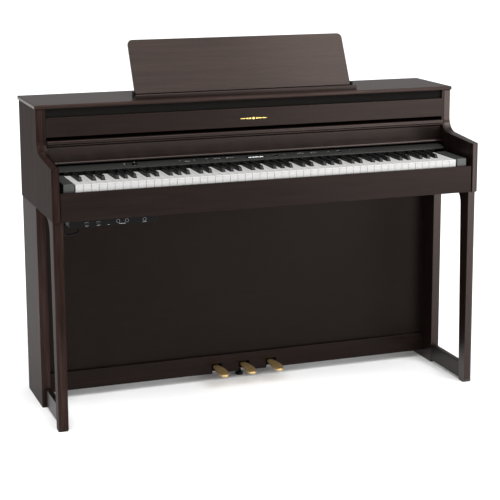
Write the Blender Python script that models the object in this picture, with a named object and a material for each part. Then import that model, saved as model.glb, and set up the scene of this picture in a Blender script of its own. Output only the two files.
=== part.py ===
"""Digital piano on a stand: cabinet, keyboard, sliding lid, music rest, stand and pedals.

Metres, +Z up. The front faces -Y, and the origin is on the floor under the middle of the piano.
Depths in the sizes below are measured back from the front of the arms.
"""

import math

import bmesh
import bpy
from mathutils import Matrix, Vector

GAP = 0.0003  # fit between fixed pieces
RUN = 0.0008  # running clearance around moving pieces

# Keyboard
WHITE_KEYS = 52
WHITE_PITCH = 0.02358
KEY_SPLIT = 0.001  # gap between neighbouring keys
KEY_FRONT = 0.018
KEY_SHOULDER = 0.067  # where the white keys narrow to pass the black ones
WHITE_HEIGHT = 0.023
WHITE_TAIL_END = 0.247
WHITE_PIVOT = 0.241
BLACK_WIDTH = 0.0105
BLACK_SLOT = 0.0140
BLACK_RISE = 0.0115
BLACK_TAIL_END = 0.264
BLACK_PIVOT = 0.259
BLACK_SHIFT = {"C": -0.0022, "D": 0.0022, "F": -0.0032, "G": 0.0, "A": 0.0032}
LETTERS = "ABCDEFG"
MIDDLE_C = 23  # white keys below middle C
MIDDLE_END = 26  # first white key above the single middle keys

# Widths, outwards from the keys
BLOCK_SPLIT = 0.0034
BLOCK_WIDTH = 0.032
BLOCK_CLEAR = 0.0065
GUIDE_THICK = 0.0077
GUIDE_TAPER = 0.0062
SIDE_THICK = 0.022
TOP_OVERHANG = 0.0035

# Heights: the keys' own, and the others from it
KEY_TOP = 0.740
CABINET_DROP = 0.105
CABINET_BOTTOM = KEY_TOP - CABINET_DROP
ARM_TOP = KEY_TOP + 0.050
UPPER_RISE = 0.210
TOP_HEIGHT = KEY_TOP + UPPER_RISE
TOP_THICK = 0.012

# Depths
DEPTH = 0.466
UPPER_FRONT = 0.208  # front edge of the tall part of the side boards
REAR_LIP = 0.004
ARM_SLOPE = math.radians(4.9)
COVE_RADIUS = 0.045
ARM_CORNER = 0.012

# Keybed and slip
KEYBED_THICK = 0.024
SLIP_FRONT = 0.004
SLIP_THICK = 0.010
SLIP_TOP = KEY_TOP - 0.0205
BACK_THICK = 0.006

# Upper front
SLOT_HEIGHT = 0.0265
GRILLE_SETBACK = 0.008
GRILLE_THICK = 0.003
PANEL_THICK = 0.012
LID_MOUTH = 0.0095  # opening between the upper panel and the lid's rail
LOWER_THICK = 0.014
LOWER_SLOPE = 0.0055
LIP_HEIGHT = 0.0075

# Lid
LID_THICK = 0.009
LID_SLOPE = math.radians(18.0)
LID_LENGTH = DEPTH - UPPER_FRONT - 0.032
RAIL_BOTTOM = KEY_TOP + 0.084
RAIL_HEIGHT = 0.0185
RAIL_DEPTH = 0.014
RUNNER_WIDTH = 0.010

# Control panel
PANEL_FRONT = UPPER_FRONT - 0.0425
PANEL_EDGE_TOP = KEY_TOP + 0.0145
PANEL_PITCH = math.radians(9.5)
PANEL_DEPTH = 0.052
PANEL_PLATE = 0.0035
CONTROL_LINE = 0.024  # controls' distance up the panel from its front edge
CONTROL_PROUD = 0.0018
CONTROL_BELOW = 0.0013
BUTTON_TRAVEL = 0.0012
BUTTONS = {  # x, radius
    "power_button": (-0.4196, 0.0045),
    "tone_button": (-0.158, 0.0045),
    "play_button": (0.284, 0.0055),
}
KNOBS = {  # x, radius, height
    "volume_knob": (-0.390, 0.0075, 0.006),
    "select_dial": (0.068, 0.0062, 0.004),
}
DISPLAY_WIDTH = 0.062
DISPLAY_DEPTH = 0.015

# Music rest
LEDGE_FRONT = UPPER_FRONT + 0.035
LEDGE_DEPTH = 0.032
LEDGE_HALF = 0.366
REST_HALF = 0.360
REST_HEIGHT = 0.176
REST_THICK = 0.009
REST_PIVOT = LEDGE_FRONT + 0.043
REST_PIVOT_RISE = 0.0125
REST_TILT = math.radians(27.0)
REST_CORNER = 0.016
STAY_HEIGHT = 0.076
STAY_OFFSET = 0.0072
STAY_LENGTH = STAY_HEIGHT + 0.016
STAY_THICK = 0.0035
STAY_WIDTH = 0.034

# Stand
LEG_THICK = 0.028
LEG_INSET = 0.002
RAIL_THICK = 0.017
FRONT_LEG_FRONT = 0.0095
FRONT_LEG_TOP_DEPTH = 0.053
FRONT_LEG_FOOT_DEPTH = 0.039
GUSSET_RADIUS = 0.046
REAR_LEG_FRONT = DEPTH - 0.214
REAR_LEG_REAR = DEPTH - 0.006
FOOT_RAIL_BOTTOM = 0.008
FOOT_RAIL_TOP = 0.062
KNEE_FRONT = DEPTH - 0.146
KNEE_THICK = 0.015
PEDAL_RAIL_FRONT = KNEE_FRONT - 0.012
PEDAL_RAIL_BOTTOM = 0.028
PEDAL_RAIL_TOP = 0.0885

# Pedals
PEDAL_SPACING = 0.094
PEDAL_TIP = PEDAL_RAIL_FRONT - 0.090
PEDAL_PIVOT = KNEE_FRONT + 0.065
PEDAL_PIVOT_HEIGHT = 0.0485
PEDAL_THICK = 0.009
PEDAL_SLOT = 0.036
PEDAL_SLOT_TOP = 0.060
PEDAL_BOX_HALF = PEDAL_SPACING + 0.046
PEDAL_BOX_REAR = PEDAL_PIVOT + 0.033
PEDAL_BOX_WALL = 0.004

# Connectors and small fittings under the keybed
SOCKET_BOX_INSET = 0.025  # from the stand's left side
SOCKET_BOX_WIDTH = 0.264
SOCKET_BOX_FRONT = 0.030
SOCKET_BOX_DEPTH = 0.080
SOCKET_BOX_HEIGHT = 0.024
JACKS = (0.144, 0.170, 0.224)  # along the box
JACK_RADIUS = 0.0036
JACK_DEPTH = 0.022
USB_PORTS = (0.050, 0.085)
INLET_INSET = 0.147
HOOK_INSET = 0.016
HOOK_DROP = 0.052

# Sound
SPEAKER_INSET = 0.225
SPEAKER_RADIUS = (DEPTH - 0.130) / 6
TWEETER_INSET = 0.195
TWEETER_RADIUS = 0.0115

# Worked out from the sizes above
KEY_HALF = WHITE_KEYS * WHITE_PITCH / 2
BLOCK_IN = KEY_HALF + BLOCK_SPLIT
BLOCK_OUT = BLOCK_IN + BLOCK_WIDTH
CASE_HALF = BLOCK_OUT + BLOCK_CLEAR
SIDE_IN = CASE_HALF + GUIDE_THICK + GAP
SIDE_OUT = SIDE_IN + SIDE_THICK
TOP_HALF = SIDE_OUT + TOP_OVERHANG
FIT_HALF = CASE_HALF - 2 * GAP
LEG_OUT = SIDE_OUT - LEG_INSET
LEG_IN = LEG_OUT - LEG_THICK
TOP_UNDER = TOP_HEIGHT - TOP_THICK
KEYBED_TOP = CABINET_BOTTOM + KEYBED_THICK + GAP
STAND_TOP = CABINET_BOTTOM - GAP
SIDE_REAR = DEPTH - REAR_LIP
BACK_FRONT = SIDE_REAR - BACK_THICK - REAR_LIP
WHITE_BOTTOM = KEY_TOP - WHITE_HEIGHT
LID_BOTTOM = RAIL_BOTTOM + 0.0005
MOUTH_TOP = RAIL_BOTTOM + RAIL_HEIGHT + LID_MOUTH
SLOT_BOTTOM = TOP_UNDER - SLOT_HEIGHT
SPEAKER_X = CASE_HALF - SPEAKER_INSET
SPEAKER_Y = BACK_FRONT - 0.004 - SPEAKER_RADIUS
TWEETER_X = CASE_HALF - TWEETER_INSET
SOCKET_BOX_LEFT = SOCKET_BOX_INSET - LEG_IN

ROSEWOOD = ((0.050, 0.032, 0.029), 0.38, 0.0)
DARK_BOARD = ((0.035, 0.024, 0.022), 0.45, 0.0)
SATIN_BLACK = ((0.012, 0.012, 0.012), 0.40, 0.0)
PANEL_GREY = ((0.030, 0.034, 0.033), 0.30, 0.0)
KEY_WHITE = ((0.83, 0.82, 0.79), 0.25, 0.0)
KEY_BLACK = ((0.010, 0.010, 0.011), 0.30, 0.0)
BLOCK_GREY = ((0.085, 0.090, 0.088), 0.45, 0.0)
STEEL = ((0.45, 0.45, 0.46), 0.35, 1.0)
BRASS = ((0.72, 0.53, 0.22), 0.22, 1.0)
CIRCUIT = ((0.02, 0.10, 0.05), 0.50, 0.0)
CLOTH = ((0.015, 0.015, 0.015), 0.90, 0.0)


def back(depth):
    """World Y of a depth measured back from the front of the arms."""
    return depth - DEPTH / 2


def clear_scene():
    for obj in list(bpy.data.objects):
        bpy.data.objects.remove(obj, do_unlink=True)


def material(name, finish):
    colour, roughness, metallic = finish
    made = bpy.data.materials.new(name)
    made.use_nodes = True
    shader = made.node_tree.nodes["Principled BSDF"]
    shader.inputs["Base Color"].default_value = (*colour, 1.0)
    shader.inputs["Roughness"].default_value = roughness
    shader.inputs["Metallic"].default_value = metallic
    return made


def add(name, bm, finish, at=(0, 0, 0), turn=0.0):
    """Makes the object: its mesh is around its own origin, which is put at AT and turned about X."""
    bmesh.ops.recalc_face_normals(bm, faces=bm.faces)
    mesh = bpy.data.meshes.new(name)
    bm.to_mesh(mesh)
    bm.free()
    obj = bpy.data.objects.new(name, mesh)
    obj.location = at
    obj.rotation_euler.x = turn
    mesh.materials.append(material(name, finish))
    bpy.context.scene.collection.objects.link(obj)
    return obj


def hide_cutter(obj):
    obj.hide_render = True
    obj.display_type = "WIRE"
    return obj


def boolean(obj, other, operation):
    step = obj.modifiers.new(operation.lower(), "BOOLEAN")
    step.operation = operation
    step.solver = "EXACT"
    step.object = hide_cutter(other)


def bevel(obj, width, segments=2, angle=30):
    step = obj.modifiers.new("edges", "BEVEL")
    step.width = width
    step.segments = segments
    step.limit_method = "ANGLE"
    step.angle_limit = math.radians(angle)


def block(low, high):
    """A box between two corners, given as (x, y, z)."""
    bm = bmesh.new()
    size = [b - a for a, b in zip(low, high)]
    middle = [(a + b) / 2 for a, b in zip(low, high)]
    bmesh.ops.create_cube(bm, size=1.0, matrix=Matrix.Translation(middle) @ Matrix.Diagonal((*size, 1)))
    return bm


def board(name, x, depth, z, finish, edge=0.0):
    """A flat board between pairs of x, depth and z, with its origin at its middle."""
    low = Vector((x[0], back(depth[0]), z[0]))
    high = Vector((x[1], back(depth[1]), z[1]))
    middle = (low + high) / 2
    obj = add(name, block(low - middle, high - middle), finish, middle)
    if edge:
        bevel(obj, edge)
    return obj


def extruded(outline, vector, bm=None):
    bm = bm or bmesh.new()
    face = bm.faces.new([bm.verts.new(point) for point in outline])
    grown = bmesh.ops.extrude_face_region(bm, geom=[face])["geom"]
    bmesh.ops.translate(bm, verts=[v for v in grown if isinstance(v, bmesh.types.BMVert)], vec=vector)
    return bm


def across(profile, left, right, bm=None):
    """Extrudes a (y, z) profile along X from LEFT to RIGHT."""
    return extruded([(left, y, z) for y, z in profile], (right - left, 0, 0), bm)


def upright(outline, bottom, top, bm=None):
    """Extrudes an (x, y) outline along Z from BOTTOM to TOP."""
    return extruded([(x, y, bottom) for x, y in outline], (0, 0, top - bottom), bm)


def arc(centre, radius, start, end, steps):
    """Points on an arc, with the angles in degrees."""
    angles = [math.radians(start + (end - start) * i / steps) for i in range(steps + 1)]
    return [(centre[0] + radius * math.cos(a), centre[1] + radius * math.sin(a)) for a in angles]


def turned(profile, sides):
    """Spins an (r, z) profile, which starts and ends on the axis, about Z."""
    bm = bmesh.new()
    verts = [bm.verts.new((r, 0, z)) for r, z in profile]
    edges = [bm.edges.new(pair) for pair in zip(verts, verts[1:])]
    bmesh.ops.spin(bm, geom=verts + edges, axis=(0, 0, 1), cent=(0, 0, 0), angle=math.tau,
                   steps=sides, use_merge=True)
    bmesh.ops.remove_doubles(bm, verts=bm.verts, dist=1e-6)
    return bm


def round_bar(radius, bottom, top, sides=16):
    return turned([(0, bottom), (radius, bottom), (radius, top), (0, top)], sides)


def smooth(obj):
    obj.data.shade_smooth()
    obj.data.set_sharp_from_angle(angle=math.radians(35))


def arm_profile(bottom, rear, front=0.0):
    """Side outline: arm, cove and upright, as (depth, z) from the bottom front corner."""
    arm_start = ARM_TOP + front * math.tan(ARM_SLOPE)
    centre_y = UPPER_FRONT - COVE_RADIUS
    tangent_y = centre_y + COVE_RADIUS * math.sin(ARM_SLOPE)
    tangent_z = ARM_TOP + tangent_y * math.tan(ARM_SLOPE)
    centre_z = tangent_z + COVE_RADIUS * math.cos(ARM_SLOPE)
    cove = arc((centre_y, centre_z), COVE_RADIUS, -90 + math.degrees(ARM_SLOPE), 0, 7)
    top = TOP_UNDER - GAP
    return [(front, bottom), (front, arm_start), *cove, (UPPER_FRONT, top), (rear, top), (rear, bottom)]


def local(points, depth, height):
    """Profile points moved so that a depth and height become their origin."""
    return [(y - depth, z - height) for y, z in points]


def side_boards():
    profile = local(arm_profile(CABINET_BOTTOM, SIDE_REAR), 0, CABINET_BOTTOM)
    for side, sign in (("left", -1), ("right", 1)):
        bm = across(profile, 0, sign * SIDE_THICK)
        rounded = [
            e for e in bm.edges
            if all(abs(v.co.y) < 1e-6 and abs(v.co.x - sign * SIDE_THICK) < 1e-6 for v in e.verts)
        ]
        bmesh.ops.bevel(bm, geom=rounded, offset=ARM_CORNER, segments=5, profile=0.5, affect="EDGES")
        obj = add(f"side_board_{side}", bm, ROSEWOOD, (sign * SIDE_IN, back(0), CABINET_BOTTOM))
        bevel(obj, 0.0012, 2, 50)


def lid_guides():
    """Linings that the lid slides between: they thin out along the arms and carry a runner inside."""
    front = SLIP_FRONT + SLIP_THICK + GAP
    profile = local(arm_profile(KEYBED_TOP, BACK_FRONT - GAP, front), 0, CABINET_BOTTOM)
    taper_end = UPPER_FRONT - COVE_RADIUS
    for side, sign in (("left", -1), ("right", 1)):
        bm = across(profile, 0, sign * GUIDE_THICK)
        everything = list(bm.verts) + list(bm.edges) + list(bm.faces)
        bmesh.ops.bisect_plane(bm, geom=everything, plane_co=(0, taper_end, 0), plane_no=(0, 1, 0))
        for v in bm.verts:
            if abs(v.co.x) < 1e-6 and v.co.y < taper_end:
                v.co.x += sign * GUIDE_TAPER * (taper_end - v.co.y) / (taper_end - front)
        guide = add(f"lid_guide_{side}", bm, ROSEWOOD, (sign * CASE_HALF, back(0), CABINET_BOTTOM))
        boolean(guide, runner(sign), "UNION")


def runner(sign):
    """The ledge that the lid's plate slides on, along the lid's slope."""
    start = UPPER_FRONT + LOWER_THICK + 0.006
    run = (BACK_FRONT - 0.012 - start) / math.cos(LID_SLOPE)
    low = min(-sign * RUNNER_WIDTH, sign * GUIDE_THICK / 2)
    high = max(-sign * RUNNER_WIDTH, sign * GUIDE_THICK / 2)
    bm = block((low, 0, -0.008 - RUN), (high, run, -RUN))
    height = LID_BOTTOM + (start - UPPER_FRONT) * math.tan(LID_SLOPE)
    return add(f"runner_shape_{sign}", bm, ROSEWOOD, (sign * CASE_HALF, back(start), height), LID_SLOPE)


def top_board():
    board("top_board", (-TOP_HALF, TOP_HALF), (UPPER_FRONT - 0.0045, DEPTH), (TOP_UNDER, TOP_HEIGHT),
          ROSEWOOD, 0.003)


def upper_front():
    board("upper_panel", (-FIT_HALF, FIT_HALF), (UPPER_FRONT - 0.002, UPPER_FRONT + PANEL_THICK),
          (MOUTH_TOP, SLOT_BOTTOM), ROSEWOOD, 0.0012)
    grille = UPPER_FRONT + GRILLE_SETBACK
    board("speaker_grille", (-FIT_HALF, FIT_HALF), (grille, grille + GRILLE_THICK),
          (SLOT_BOTTOM + GAP, TOP_UNDER - GAP), CLOTH)
    rail_top = RAIL_BOTTOM - 0.003
    bottom = PANEL_EDGE_TOP + PANEL_DEPTH * math.sin(PANEL_PITCH) + 0.005
    foot = UPPER_FRONT + LOWER_SLOPE
    rear = UPPER_FRONT + LOWER_THICK
    lip = arc((UPPER_FRONT + 0.001, bottom + LIP_HEIGHT / 2), LIP_HEIGHT / 2, 90, 270, 5)
    profile = [(UPPER_FRONT, rail_top), (foot, bottom + LIP_HEIGHT + 0.002)]
    profile += [*lip, (rear, bottom), (rear, rail_top)]
    bm = across(local(profile, UPPER_FRONT, bottom), -FIT_HALF, FIT_HALF)
    add("lower_board", bm, ROSEWOOD, (0, back(UPPER_FRONT), bottom))


def case_boards():
    half = SIDE_IN - GAP
    bed = board("keybed", (-half, half), (SLIP_FRONT + SLIP_THICK + GAP, SIDE_REAR - REAR_LIP),
                (CABINET_BOTTOM, KEYBED_TOP - GAP), DARK_BOARD)
    for sign in (-1, 1):
        hole = add(f"speaker_hole_{sign}", round_bar(SPEAKER_RADIUS - 0.008, -0.05, 0.05, 32), DARK_BOARD,
                   (sign * SPEAKER_X, back(SPEAKER_Y), CABINET_BOTTOM))
        boolean(bed, hole, "DIFFERENCE")
    board("key_slip", (GAP * 5 - half, half - GAP * 5), (SLIP_FRONT, SLIP_FRONT + SLIP_THICK),
          (CABINET_BOTTOM, SLIP_TOP), ROSEWOOD, 0.001)
    board("back_panel", (-half, half), (BACK_FRONT, BACK_FRONT + BACK_THICK),
          (KEYBED_TOP, TOP_UNDER - GAP), DARK_BOARD)


def key_bed_parts():
    for side, sign in (("left", -1), ("right", 1)):
        x = sorted((sign * BLOCK_IN, sign * BLOCK_OUT))
        board(f"key_block_{side}", x, (KEY_FRONT - 0.001, PANEL_FRONT - 0.001),
              (KEYBED_TOP, KEY_TOP + 0.003), BLOCK_GREY, 0.001)
    plate = 0.0025
    top = WHITE_BOTTOM - 0.0145
    front = KEY_FRONT + 0.012
    rear = BLACK_TAIL_END + 0.006
    base = KEYBED_TOP
    rise = base + 0.030
    channel = [(front, base), (rear, base), (rear, rise), (rear - plate, rise), (rear - plate, base + plate),
               (front + plate, base + plate), (front + plate, top), (front, top)]
    bm = across(local(channel, front, base), -KEY_HALF, KEY_HALF)
    add("key_frame", bm, STEEL, (0, back(front), base))
    board("key_pivot_rail", (-KEY_HALF, KEY_HALF), (WHITE_PIVOT - 0.010, BLACK_TAIL_END),
          (base + plate + GAP, WHITE_BOTTOM - 0.002), DARK_BOARD)


def letter(index):
    return LETTERS[index % len(LETTERS)]


def white_left(index):
    return -KEY_HALF + index * WHITE_PITCH


def has_black(index):
    """Whether a black key stands between this white key and the next."""
    return 0 <= index < WHITE_KEYS - 1 and letter(index) in BLACK_SHIFT


def black_centre(index):
    return white_left(index + 1) + BLACK_SHIFT[letter(index)]


def white_outline(index):
    """A white key seen from above: full width at the front, cut away beside the black keys."""
    left = white_left(index) + KEY_SPLIT / 2
    right = white_left(index + 1) - KEY_SPLIT / 2
    inner_left = black_centre(index - 1) + BLACK_SLOT / 2 if has_black(index - 1) else left
    inner_right = black_centre(index) - BLACK_SLOT / 2 if has_black(index) else right
    points = [(left, KEY_FRONT), (right, KEY_FRONT)]
    if has_black(index):
        points.append((right, KEY_SHOULDER))
        points.append((inner_right, KEY_SHOULDER))
    points.append((inner_right, WHITE_TAIL_END))
    points.append((inner_left, WHITE_TAIL_END))
    if has_black(index - 1):
        points.append((inner_left, KEY_SHOULDER))
        points.append((left, KEY_SHOULDER))
    return points


def white_keys(name, indexes):
    """White keys that swing together, joined behind the control panel where there are several."""
    bm = bmesh.new()
    for index in indexes:
        outline = [(x, y - WHITE_PIVOT) for x, y in white_outline(index)]
        upright(outline, 0, WHITE_HEIGHT, bm)
    keys = add(name, bm, KEY_WHITE, (0, back(WHITE_PIVOT), WHITE_BOTTOM))
    if len(indexes) > 1:
        low = white_left(indexes[0]) + KEY_SPLIT
        high = white_left(indexes[-1] + 1) - KEY_SPLIT
        bar = block((low, -0.013, 0.002), (high, 0.003, WHITE_HEIGHT - 0.008))
        boolean(keys, add(f"{name}_bar", bar, KEY_WHITE, keys.location), "UNION")


def black_keys(name, indexes):
    """Black keys: a body between the white ones and a thin tail over their joining bar."""
    top = KEY_TOP + BLACK_RISE
    tail_bottom = KEY_TOP + 0.0014
    tail_top = KEY_TOP + 0.0085
    body_end = PANEL_FRONT + 0.004
    lip_end = PANEL_FRONT - 0.001
    start = KEY_SHOULDER + 0.0012
    profile = [(start, WHITE_BOTTOM + 0.008), (start, KEY_TOP + 0.001), (start + 0.005, top - 0.0015),
               (start + 0.0075, top), (lip_end, top), (lip_end, tail_top), (BLACK_TAIL_END, tail_top),
               (BLACK_TAIL_END, tail_bottom), (body_end, tail_bottom), (body_end, WHITE_BOTTOM + 0.008)]
    bm = bmesh.new()
    for index in indexes:
        left = black_centre(index) - BLACK_WIDTH / 2
        across(local(profile, BLACK_PIVOT, WHITE_BOTTOM), left, left + BLACK_WIDTH, bm)
    keys = add(name, bm, KEY_BLACK, (0, back(BLACK_PIVOT), WHITE_BOTTOM))
    if len(indexes) > 1:
        low = black_centre(indexes[0]) - BLACK_WIDTH
        high = black_centre(indexes[-1]) + BLACK_WIDTH
        bar = block((low, -0.007, 0.003), (high, 0.004, tail_top - WHITE_BOTTOM - 0.001))
        boolean(keys, add(f"{name}_bar", bar, KEY_BLACK, keys.location), "UNION")


def keyboard():
    low = range(0, MIDDLE_C)
    high = range(MIDDLE_END, WHITE_KEYS)
    white_keys("white_keys_low", low)
    white_keys("white_keys_high", high)
    black_keys("black_keys_low", [i for i in low if has_black(i)])
    black_keys("black_keys_high", [i for i in high if has_black(i)])
    for index in range(MIDDLE_C, MIDDLE_END):
        note = letter(index).lower()
        white_keys(f"key_{note}", [index])
        if has_black(index):
            black_keys(f"key_{note}_sharp", [index])


def lid():
    """A flat plate that stows in the cabinet, with the rail along its front that the hands pull."""
    half = CASE_HALF - RUN
    origin = (0, back(UPPER_FRONT), LID_BOTTOM)
    start = GAP + LID_THICK * math.tan(LID_SLOPE)
    bm = block((-half, start, 0), (half, LID_LENGTH, LID_THICK))
    plate = add("lid_plate", bm, ROSEWOOD, origin, LID_SLOPE)
    bevel(plate, 0.001)
    front = -RAIL_DEPTH
    low = RAIL_BOTTOM - LID_BOTTOM
    high = low + RAIL_HEIGHT
    profile = [(front + 0.004, low), (0, low), (0, high), (front + 0.005, high)]
    profile += arc((front + 0.005, high - 0.005), 0.005, 90, 180, 4)
    profile += [(front, low + 0.0085), (front + 0.0022, low + 0.0072), (front, low + 0.0055)]
    profile += arc((front + 0.004, low + 0.004), 0.004, 180, 255, 3)
    add("lid_rail", across(profile, -half, half), ROSEWOOD, origin)


def on_panel(x, up, rise=0.0):
    """A point on the control panel's top face: UP from its front edge, RISE above its surface."""
    y = back(PANEL_FRONT) + up * math.cos(PANEL_PITCH) - rise * math.sin(PANEL_PITCH)
    z = PANEL_EDGE_TOP + up * math.sin(PANEL_PITCH) + rise * math.cos(PANEL_PITCH)
    return (x, y, z)


def control_panel():
    half = BLOCK_OUT - GAP
    corner = 0.012
    outline = [(-half, PANEL_DEPTH), *arc((corner - half, corner), corner, 180, 270, 5)]
    outline += [*arc((half - corner, corner), corner, 270, 360, 5), (half, PANEL_DEPTH)]
    panel = add("control_panel", upright(outline, -PANEL_PLATE, 0), PANEL_GREY, on_panel(0, 0), PANEL_PITCH)
    bevel(panel, 0.0010, 2, 60)
    round_parts = {**BUTTONS, **{name: size[:2] for name, size in KNOBS.items()}}
    for name, (x, radius) in round_parts.items():
        place = on_panel(x, CONTROL_LINE)
        hole = round_bar(radius + RUN / 2, -0.02, 0.02, 24)
        boolean(panel, add(f"{name}_hole", hole, PANEL_GREY, place, PANEL_PITCH), "DIFFERENCE")
    place = on_panel(0, CONTROL_LINE)
    wide, deep, sunk = DISPLAY_WIDTH / 2, DISPLAY_DEPTH / 2, 0.0012
    pocket = block((-wide, -deep, -sunk), (wide, deep, 0.01))
    boolean(panel, add("display_pocket", pocket, PANEL_GREY, place, PANEL_PITCH), "DIFFERENCE")
    glass = block((GAP - wide, GAP - deep, GAP - sunk), (wide - GAP, deep - GAP, 0.0003))
    add("display_window", glass, SATIN_BLACK, place, PANEL_PITCH)
    bottom = -PANEL_PLATE - CONTROL_BELOW
    for name, (x, radius) in BUTTONS.items():
        top, edge = CONTROL_PROUD, 0.0006
        profile = [(0, bottom), (radius, bottom), (radius, top - edge), (radius - edge, top), (0, top)]
        smooth(add(name, turned(profile, 20), SATIN_BLACK, on_panel(x, CONTROL_LINE), PANEL_PITCH))
    for name, (x, radius, top) in KNOBS.items():
        profile = [(0, bottom), (radius, bottom), (radius, top - 0.001), (radius - 0.001, top), (0, top)]
        smooth(add(name, turned(profile, 24), SATIN_BLACK, on_panel(x, CONTROL_LINE), PANEL_PITCH))


def music_rest():
    base = TOP_HEIGHT + GAP
    lip = LEDGE_FRONT
    tray = LEDGE_FRONT + LEDGE_DEPTH
    profile = [(lip, base), (lip, base + 0.0105), (lip + 0.0022, base + 0.0127),
               (lip + 0.0070, base + 0.0127), (lip + 0.0092, base + 0.0105), (lip + 0.0105, base + 0.0055),
               (tray, base + 0.0055), (tray, base)]
    bm = across(local(profile, lip, base), -LEDGE_HALF, LEDGE_HALF)
    add("music_ledge", bm, ROSEWOOD, (0, back(lip), base))
    pivot = (0, back(REST_PIVOT), TOP_HEIGHT + REST_PIVOT_RISE)
    corner = REST_CORNER
    top = REST_HEIGHT
    outline = [(-REST_HALF, -0.004), (REST_HALF, -0.004)]
    outline += arc((REST_HALF - corner, top - corner), corner, 0, 90, 6)
    outline += arc((corner - REST_HALF, top - corner), corner, 90, 180, 6)
    points = [(x, -REST_THICK / 2, z) for x, z in outline]
    rest = add("music_rest", extruded(points, (0, REST_THICK, 0)), ROSEWOOD, pivot, -REST_TILT)
    bevel(rest, 0.0015, 2, 50)
    for side, sign in (("left", -1), ("right", 1)):
        x = sorted((sign * (REST_HALF + GAP), sign * LEDGE_HALF))
        board(f"rest_bracket_{side}", x, (LEDGE_FRONT + LEDGE_DEPTH + GAP, REST_PIVOT + 0.009),
              (base, TOP_HEIGHT + REST_PIVOT_RISE + 0.007), SATIN_BLACK, 0.001)
    rest_stay(pivot)


def rest_stay(pivot):
    """The prop behind the rest: its foot stands on the top board."""
    turn = Matrix.Rotation(-REST_TILT, 3, "X")
    joint = Vector(pivot) + turn @ Vector((0, STAY_OFFSET, STAY_HEIGHT))
    drop = joint.z - TOP_HEIGHT - GAP
    half, wide = STAY_THICK / 2, STAY_WIDTH / 2
    lean = math.acos(drop / math.hypot(STAY_LENGTH, half)) + math.atan2(half, STAY_LENGTH)
    bm = block((-wide, -half, -STAY_LENGTH), (wide, half, 0.0005))
    stay = add("rest_stay", bm, SATIN_BLACK, joint, lean)
    slot = block((0.008 - wide, -0.01, 0.016 - STAY_LENGTH), (wide - 0.008, 0.01, -0.016))
    boolean(stay, add("stay_slot", slot, SATIN_BLACK, joint, lean), "DIFFERENCE")


def stand():
    for side, sign in (("left", -1), ("right", 1)):
        x = sorted((sign * LEG_IN, sign * LEG_OUT))
        board(f"rear_leg_{side}", x, (REAR_LEG_FRONT, REAR_LEG_REAR), (0, STAND_TOP), ROSEWOOD, 0.0015)
        x = sorted((sign * LEG_IN, sign * (LEG_IN + RAIL_THICK)))
        rail_front = FRONT_LEG_FRONT + FRONT_LEG_FOOT_DEPTH + GAP
        taper = (FRONT_LEG_TOP_DEPTH - FRONT_LEG_FOOT_DEPTH) * FOOT_RAIL_TOP / CABINET_BOTTOM
        board(f"foot_rail_{side}", x, (rail_front + taper, REAR_LEG_FRONT - GAP),
              (FOOT_RAIL_BOTTOM, FOOT_RAIL_TOP), ROSEWOOD, 0.0015)
        front_leg(side, sign)
    half = LEG_IN - GAP
    board("knee_panel", (-half, half), (KNEE_FRONT, KNEE_FRONT + KNEE_THICK),
          (PEDAL_RAIL_TOP + GAP, STAND_TOP), DARK_BOARD)


def front_leg(side, sign):
    front = FRONT_LEG_FRONT
    foot = front + FRONT_LEG_FOOT_DEPTH
    rear = front + FRONT_LEG_TOP_DEPTH
    start = STAND_TOP - GUSSET_RADIUS
    gusset = arc((rear + GUSSET_RADIUS, start), GUSSET_RADIUS, 180, 100, 6)
    profile = [(front + 0.008, 0), (foot - 0.006, 0), (foot, 0.006), *gusset]
    profile += [(rear + GUSSET_RADIUS, STAND_TOP), (front, STAND_TOP), (front, 0.010)]
    bm = across(local(profile, front, 0), 0, sign * LEG_THICK)
    rounded = [
        e for e in bm.edges
        if all(abs(v.co.y) < 1e-6 and abs(v.co.x - sign * LEG_THICK) < 1e-6 for v in e.verts)
    ]
    bmesh.ops.bevel(bm, geom=rounded, offset=ARM_CORNER, segments=5, profile=0.5, affect="EDGES")
    obj = add(f"front_leg_{side}", bm, ROSEWOOD, (sign * LEG_IN, back(front), 0))
    bevel(obj, 0.0012, 2, 50)


def pedal_outline():
    """Half widths and heights of the lever's sections, at distances forward of its pivot."""
    reach = PEDAL_PIVOT - PEDAL_TIP
    body = [(-0.010, 0.010, 0.0), (0.066, 0.010, 0.0), (0.084, 0.0140, 0.0005), (0.108, 0.0174, 0.001)]
    tip = []
    for step in range(6):
        angle = math.radians(15 + 13 * step)
        distance = reach - 0.030 * (1 - math.sin(angle))
        tip.append((distance, 0.0186 * math.cos(angle) ** 0.7, -0.0045 * step / 5))
    return body + tip


def pedals():
    for name, place in (("left", -1), ("middle", 0), ("right", 1)):
        bm = bmesh.new()
        rings = []
        for distance, half, lift in pedal_outline():
            flat = max(half - 0.0025, half * 0.6)
            section = [(-half, 0.0025), (-flat, 0), (flat, 0), (half, 0.0025), (half, PEDAL_THICK - 0.0035),
                       (flat, PEDAL_THICK), (-flat, PEDAL_THICK), (-half, PEDAL_THICK - 0.0035)]
            rings.append([bm.verts.new((x, -distance, z - PEDAL_THICK / 2 + lift)) for x, z in section])
        for first, second in zip(rings, rings[1:]):
            for i in range(len(first)):
                j = (i + 1) % len(first)
                bm.faces.new((first[i], first[j], second[j], second[i]))
        bm.faces.new(rings[0])
        bm.faces.new(rings[-1])
        pivot = (place * PEDAL_SPACING, back(PEDAL_PIVOT), PEDAL_PIVOT_HEIGHT)
        smooth(add(f"pedal_{name}", bm, BRASS, pivot))


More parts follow.
